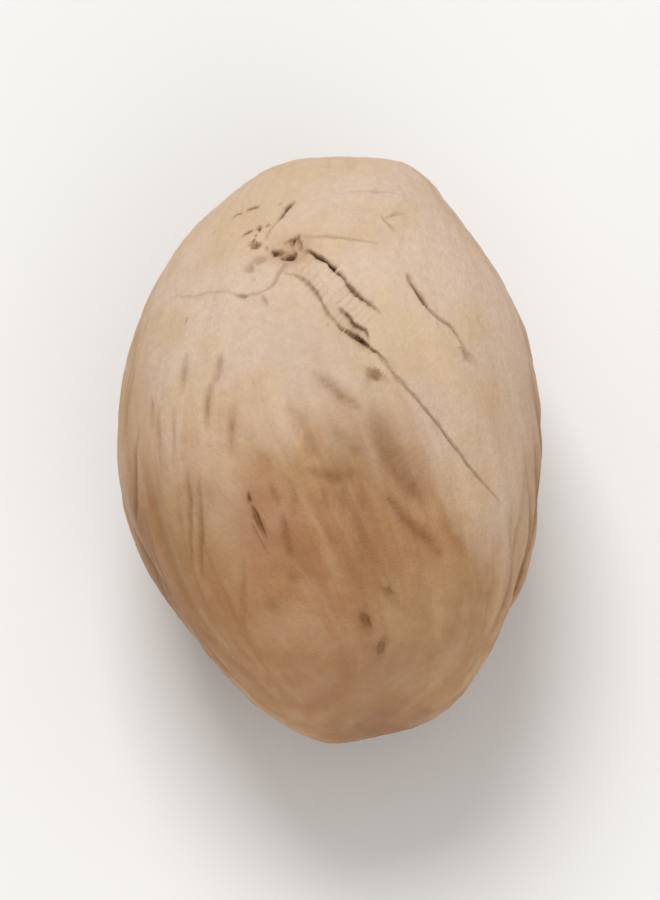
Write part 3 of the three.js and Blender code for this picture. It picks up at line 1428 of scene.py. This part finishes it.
@dataclass(frozen=True)
class Wear:
    """Where the bloom has worn off: near the narrow tip, less far up on the right, and in patches below.

    A name that ends in edge holds the two values between which something comes.
    """

    form: KernelForm
    seed: float
    start: float = -0.235
    lower_on_right: float = 0.33
    right_turn: float = math.radians(80)
    right_edge: Span = (0.7, 0.97)
    low_edge: Span = (-0.16, 0.2)
    low_uneven: Noise = Noise(0.18, 3.0, 0.55, strength=0.12)
    low_streaks: Noise = Noise(0.55, 3.0, strength=0.1, lengthwise=0.22)
    patches: Noise = Noise(0.13, 3.0, 0.55)
    patch_edge: Span = (-0.5, 0.3)
    patches_behind: float = 0.75
    streaks: Noise = Noise(0.9, 3.0, 0.55, lengthwise=0.14)
    mottling: Noise = Noise(0.5, 4.0, 0.6)
    by_mottling: float = 0.2
    by_streaks: float = 0.06
    in_nets: float = 0.5
    on_pads: float = 0.3

    def bare(self, here: Place, where: Wire, grain: Wire, behind: Wire) -> Wire:
        """How bare of bloom the skin is.

        Args:
            here: the place.
            where: the place on the even ellipsoid.
            grain: the place along the grain.
            behind: 0 on the upper side, and 1 on the underside.

        Returns:
            A number from 0 under thick bloom to 1 on bare skin.
        """
        right = self.form.facing(here, self.right_turn).rise(*self.right_edge)
        start = self.start - self.lower_on_right * right
        uneven = where.noise(self.low_uneven) + grain.noise(self.low_streaks)
        low = (start - here.along + uneven).rise(*self.low_edge)
        patches = where.noise(self.patches).rise(*self.patch_edge)
        return low + (patches - low) * (self.patches_behind * behind)

    def read(self, plan: Plan) -> Patterns:
        """Reads what the finish follows.

        Args:
            plan: the material's tree.

        Returns:
            The patterns.
        """
        here = Place.under(plan.attribute("way", "Vector"))
        where = here.way * self.form.half
        grain = plan.attribute("grain", "Vector") + self.seed
        behind, grained = plan.attribute("hidden"), plan.attribute("grained")
        bare = self.bare(here, where, grain, behind)
        streak = grain.noise(self.streaks) * grained
        mottle = where.noise(self.mottling)
        coarse = coarse_grooves(where, grain, grained, behind)
        fine = FINE_NET.lines(grain) * grained
        worn = bare + self.by_mottling * mottle * bare + self.by_streaks * streak
        worn = (worn + self.in_nets * behind * (coarse - self.on_pads)).clamp()
        return Patterns(here, where, grain, behind, bare, streak, mottle, coarse, fine, worn)


@dataclass(frozen=True)
class Creases:
    """How creases and cracks darken the skin, partly with painted shade, and how pores and specks do."""

    form: KernelForm
    # Creases darken partly with painted shade and partly with their own darker brown; pores and specks are
    # the skin's own dark points.
    coarse: Shown = Shown(anywhere=0.06, bare=0.1, behind=0.8)
    fine: Shown = Shown(anywhere=0.02, bare=0.05, behind=0.25)
    furrow: Shown = Shown(anywhere=0.3, bare=0.0, behind=0.6)
    fold: float = 0.64
    fold_uneven: Noise = Noise(1.5, strength=0.25)
    pores: float = 0.45
    specks: float = 0.75
    specks_middle: Spot = Spot.at(-27, 0.45)
    specks_reach: Span = (2.0, 2.4)
    # How strongly the troughs between the puckers are darkened: painted shade.
    rungs: float = 0.4
    # Painted shade beside and in the cracks, partly their own dark brown.
    crack: float = 0.95
    crack_spread: float = 2.2
    gap_edge: Span = (0.7, 1.5)
    gap_gain: float = 2.2
    gap: float = 0.8
    gap_uneven: Noise = Noise(2.2, 3.0, strength=0.6)

    def depth(self, seen: Patterns) -> Wire:
        """How strongly everything but a crack's gap darkens the skin, partly with painted shade.

        Args:
            seen: what the finish follows.

        Returns:
            A number from 0 to 1.
        """
        plan = seen.where.plan
        # Painted shade in the nets' grooves and in the furrows, with some of the veins' own darker brown.
        dark = self.coarse.darkening(seen.coarse, seen) + self.fine.darkening(seen.fine, seen)
        dark = dark + self.furrow.darkening(plan.attribute("furrow"), seen)
        # Painted shade in the soft grooves, partly their own brown.
        dark = dark + plan.attribute("fold") * (self.fold + seen.where.noise(self.fold_uneven))
        dark = dark + PORES.dots(seen.where) * self.pores
        specks = self.form.patch(seen.here, self.specks_middle, self.specks_reach)
        dark = dark + SPECKS.dots(seen.where) * (self.specks * specks)
        # Painted shade in the troughs between the puckers' ridges.
        dark = dark + (0 - plan.attribute("pucker")).at_least(0.0) * self.rungs
        # Painted shade beside the cracks, partly their own darker brown.
        beside = (plan.attribute("crack") / self.crack_spread).bell()
        return (dark + beside * plan.attribute("dark") * self.crack).clamp()

    def gaping(self, seen: Patterns) -> Wire:
        """How much of a dark gap shows: painted shade deep in a crack, partly its dark inside.

        Args:
            seen: what the finish follows.

        Returns:
            A number from 0 off the cracks to 1 in the middle of those that gape.
        """
        plan = seen.where.plan
        gape = (self.gap_gain * plan.attribute("dark") - (self.gap_gain - 1)).clamp()
        gape = gape * (self.gap + seen.where.noise(self.gap_uneven))
        return (plan.attribute("crack").fall(*self.gap_edge) * gape).clamp()


@dataclass(frozen=True)
class SkinFinish:
    """The dry skin: pale bloom on the broad half and the pads, bare brown skin elsewhere, dark cracks,
    painted shade in creases.
    """

    form: KernelForm
    wear: Wear
    creases: Creases
    bloom: Colour = srgb(218, 191, 169)
    # The warm bloom's colour, which also paints the highlight on the puckers' crests.
    warm_bloom_and_highlight: Colour = srgb(214, 185, 154)
    bloom_lumps: Noise = Noise(0.3, 3.0)
    bloom_edge: Span = (-0.3, 0.5)
    powder: Noise = Noise(2.4, 4.0, 0.7, strength=0.07)
    tan: Colour = srgb(200, 158, 116)
    brown: Colour = srgb(182, 134, 90)
    brown_edge: Span = (-0.5, 0.6)
    brown_share: Span = (0.15, 0.85)
    brown_streaks: float = 0.6
    casts: tuple[Cast, ...] = (
        Cast(srgb(186, 152, 104), Noise(0.22, 3.0), apart=0.0),
        Cast(srgb(172, 116, 80), Noise(0.26, 3.0), apart=9.0),
    )
    cast_edge: Span = (0.05, 0.6)
    cast_share: float = 0.35
    clear: Colour = (1.0, 1.0, 1.0, 1.0)
    # Tints of the darkening on bloom and on bare skin: painted shade in creases and cracks, and the dark
    # pores and specks.
    mark_and_shade_tint: Colour = (0.44, 0.31, 0.19, 1.0)
    bare_mark_and_shade_tint: Colour = (0.42, 0.27, 0.1, 1.0)
    # The gap's colour: painted shade deep in a crack, partly its dark inside.
    dark: Colour = srgb(54, 32, 20)
    # How strongly the puckers' crests are lightened: a painted highlight.
    crest_highlight: float = 0.4
    stain_streaks: float = 0.5
    stains: tuple[Stain, ...] = (
        Stain(Spot.at(8, -0.38), (4.0, 2.4), srgb(158, 114, 70), 0.35),
        Stain(Spot.at(15, -0.28), (1.8, 2.2), srgb(150, 110, 68), 0.35),
        Stain(Spot.at(2, -0.62), (5.0, 3.2), srgb(152, 98, 58), 0.45),
        Stain(Spot.at(4, -0.95), (6.0, 2.6), srgb(154, 104, 70), 0.5),
        Stain(Spot.at(44, -0.73), (4.0, 2.6), srgb(190, 156, 112), 0.3),
        Stain(Spot.at(5, -0.6), (1.8, 2.0), srgb(150, 90, 44), 0.2),
        Stain(Spot.at(62, -0.12), (4.0, 5.0), srgb(190, 150, 108), 0.4),
        Stain(Spot.at(-72, -0.12), (3.0, 6.0), srgb(182, 140, 92), 0.5),
        Stain(Spot.at(-76, -0.42), (3.2, 3.4), srgb(154, 104, 62), 0.6),
        Stain(Spot.at(-37, -0.43), (1.7, 2.0), srgb(206, 176, 146), 0.6),
        Stain(Spot.at(-25, -0.5), (1.5, 1.8), srgb(168, 112, 84), 0.35),
        Stain(Spot.at(-54, -0.68), (3.0, 2.6), srgb(166, 114, 64), 0.5),
        Stain(Spot.at(-34, 0.62), (3.2, 2.8), srgb(208, 180, 142), 0.6),
        Stain(Spot.at(16, 0.12), (2.2, 2.4), srgb(220, 194, 158), 0.5),
        Stain(Spot.at(-6, 0.0), (2.4, 2.0), srgb(190, 162, 138), 0.3),
        Stain(Spot.at(0, -0.24), (1.4, 1.6), srgb(216, 190, 162), 0.35),
        Stain(Spot.at(-12, 0.37), (1.0, 1.0), srgb(176, 132, 98), 0.35),
        Stain(Spot.at(145, -0.93), (2.6, 2.6), srgb(132, 88, 58), 0.6),
        Stain(Spot.at(-120, 0.1), (4.0, 4.5), srgb(170, 118, 78), 0.45),
        Stain(Spot.at(110, 0.35), (3.5, 4.0), srgb(178, 130, 86), 0.4),
        Stain(Spot.at(180, 0.7), (4.0, 3.5), srgb(160, 110, 72), 0.5),
    )
    roughness: float = 0.8
    polish: float = 0.22
    rough_uneven: Noise = Noise(1.4, 3.0, strength=0.08)
    fibres: Noise = Noise(6.0, 4.0, 0.6, strength=0.008, lengthwise=0.25)
    crumbs: Noise = Noise(5.0, 4.0, 0.65, strength=0.02)
    fine_net_depth: float = 0.02
    nets_on_top: float = 0.35
    bump_strength: float = 0.7
    specular: float = 0.35

    def skin(self, plan: Plan, seen: Patterns) -> Wire:
        """The bloom and the bare skin, with its stains, before anything darkens it.

        Args:
            plan: the material's tree.
            seen: what the finish follows.

        Returns:
            The colour.
        """
        warm = seen.where.noise(self.bloom_lumps).rise(*self.bloom_edge)
        pale = plan.blend(warm, self.bloom, self.warm_bloom_and_highlight)
        tone = self.brown_streaks * seen.streak + seen.mottle
        bare = plan.blend(tone.rise(*self.brown_edge, *self.brown_share), self.tan, self.brown)
        for cast in self.casts:
            share = (seen.where + cast.apart).noise(cast.noise).rise(*self.cast_edge, 0.0, self.cast_share)
            bare = plan.blend(share, bare, cast.colour)
        colour = plan.blend(seen.worn, pale, bare) * (1 + seen.where.noise(self.powder))
        for stain in self.stains:
            patch = self.form.patch(seen.here, stain.middle, stain.reach)
            share = stain.strength * patch * (1 + self.stain_streaks * seen.streak)
            colour = plan.blend(share.clamp(), colour, stain.colour)
        return colour

    def colour(self, plan: Plan, seen: Patterns) -> Wire:
        """The skin's colour, darkened by its creases and cracks, partly with painted shade.

        Args:
            plan: the material's tree.
            seen: what the finish follows.

        Returns:
            The colour.
        """
        # The tint of the painted shade and of the dark pores and specks, by how worn the bloom is.
        mark_and_shade_tint = plan.blend(seen.worn, self.mark_and_shade_tint, self.bare_mark_and_shade_tint)
        colour = self.skin(plan, seen) * plan.blend(self.creases.depth(seen), self.clear, mark_and_shade_tint)
        # Painted highlight on the puckers' crests, in the warm bloom's colour.
        crests = (self.crest_highlight * plan.attribute("pucker")).clamp()
        colour = plan.blend(crests, colour, self.warm_bloom_and_highlight)
        # Painted shade in the gaping cracks, partly their dark inside.
        return plan.blend(self.creases.gaping(seen), colour, self.dark)

    def bump(self, plan: Plan, seen: Patterns) -> Wire:
        """The finest relief: fibres along the grain, crumbs and hair-fine nets.

        Args:
            plan: the material's tree.
            seen: what the finish follows.

        Returns:
            The normal.
        """
        nets = self.fine_net_depth * FINE_NET.lines(seen.grain) + HAIR_NET.depth * HAIR_NET.lines(seen.grain)
        nets = nets * (self.nets_on_top + (1 - self.nets_on_top) * seen.behind)
        height = seen.grain.noise(self.fibres) + seen.where.noise(self.crumbs) - nets
        sockets = {"Strength": self.bump_strength, "Distance": METRES, "Height": height}
        return plan.get("ShaderNodeBump", 0, values=sockets)

    def build(self) -> bpy.types.Material:
        """Makes the material.

        Returns:
            The material.
        """
        material = bpy.data.materials.new("nutmeg_skin")
        material.use_nodes = True
        material.node_tree.nodes.clear()
        plan = Plan(material.node_tree)
        seen = self.wear.read(plan)
        sockets = {
            "Base Color": self.colour(plan, seen),
            "Roughness": self.roughness - self.polish * seen.bare + seen.grain.noise(self.rough_uneven),
            "Normal": self.bump(plan, seen),
            "Specular IOR Level": self.specular,
        }
        shader = plan.get("ShaderNodeBsdfPrincipled", 0, values=sockets)
        plan.add("ShaderNodeOutputMaterial", values={"Surface": shader})
        return material


# --- The studio ---------------------------------------------------------------------------------------------


@dataclass(frozen=True)
class Lamp:
    """A square soft light: its name, where it hangs from the target, the length of its side and its power."""

    name: str
    place: Triple
    size: float
    watts: float


@dataclass(frozen=True)
class Studio:
    """A pale floor, soft lights and the camera. Its own sizes are in metres.

    The camera faces a target a little off the kernel's middle: so far along it, and so far up.
    """

    middle_height: float
    aim: Span = (-0.00047, -0.00024)
    elevation: float = math.radians(64)
    distance: float = 0.45
    field: float = 0.0415
    sensor: float = 0.036
    clip: Span = (0.01, 20.0)
    floor_reach: float = 3.0
    floor_colour: Colour = srgb(240, 239, 237)
    floor_roughness: float = 0.8
    sky_colour: Colour = (1.0, 0.99, 0.98, 1.0)
    sky_strength: float = 0.5
    lamps: tuple[Lamp, ...] = (
        Lamp("key", (-0.1, 0.3, 0.55), size=0.32, watts=2.25),
        Lamp("fill", (0.15, -0.5, 0.4), size=0.5, watts=1.05),
    )

    @property
    def target(self) -> Vector:
        """What the camera and the lamps face."""
        return Vector((0.0, self.aim[0], self.middle_height + self.aim[1]))

    def hang(self, thing: bpy.types.Object, place: Vector, back: Vector) -> None:
        """Hangs a camera or a lamp at a place measured from the target, its back to a direction."""
        thing.location = self.target + place
        thing.rotation_euler = back.to_track_quat("Z", "Y").to_euler()

    def camera(self) -> None:
        """Sets up a long lens that looks down on the kernel from its narrow end."""
        data = bpy.data.cameras.new("camera")
        data.sensor_width = self.sensor / METRES
        data.lens = self.sensor / METRES * self.distance / self.field
        data.clip_start, data.clip_end = self.clip
        camera = new_object("camera", data)
        back = Vector((0.0, -math.cos(self.elevation), math.sin(self.elevation)))
        self.hang(camera, back * self.distance, back)
        bpy.context.scene.camera = camera

    def light(self, lamp: Lamp) -> None:
        """Hangs a lamp that faces the target.

        Args:
            lamp: the lamp.
        """
        data = bpy.data.lights.new(lamp.name, "AREA")
        data.size = lamp.size
        data.energy = lamp.watts
        self.hang(new_object(lamp.name, data), Vector(lamp.place), Vector(lamp.place))

    def floor(self) -> None:
        """Lays the floor."""
        mesh = bpy.data.meshes.new("floor")
        r = self.floor_reach
        mesh.from_pydata([(-r, -r, 0), (r, -r, 0), (r, r, 0), (-r, r, 0)], [], [(0, 1, 2, 3)])
        floor = new_object("floor", mesh)
        material = bpy.data.materials.new("floor")
        material.use_nodes = True
        shader = material.node_tree.nodes["Principled BSDF"]
        shader.inputs["Base Color"].default_value = self.floor_colour
        shader.inputs["Roughness"].default_value = self.floor_roughness
        mesh.materials.append(material)

    def build(self) -> None:
        """Sets up everything."""
        self.camera()
        self.floor()
        for lamp in self.lamps:
            self.light(lamp)
        world = bpy.data.worlds.new("studio")
        world.use_nodes = True
        sky = world.node_tree.nodes["Background"]
        sky.inputs["Color"].default_value = self.sky_colour
        sky.inputs["Strength"].default_value = self.sky_strength
        bpy.context.scene.world = world
        bpy.context.scene.view_settings.view_transform = "Standard"


def main() -> None:
    """Builds the studio and the kernel."""
    logging.basicConfig(level=logging.INFO, format="%(message)s")
    low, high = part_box(NODE)
    Studio(middle_height=(low.z + high.z) / 2).build()

    form = KernelForm.in_box(low, high)
    skin = KernelSkin(form, CrackWork(form), FoldWork(form))
    finish = SkinFinish(form, Wear(form, skin.seed), Creases(form)).build()
    piece = skin.build(finish)
    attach(piece, "root")
    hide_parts(NODE)
    log.info("%s: %d faces", piece.name, len(piece.data.polygons))

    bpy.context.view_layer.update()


if __name__ == "__main__":
    main()
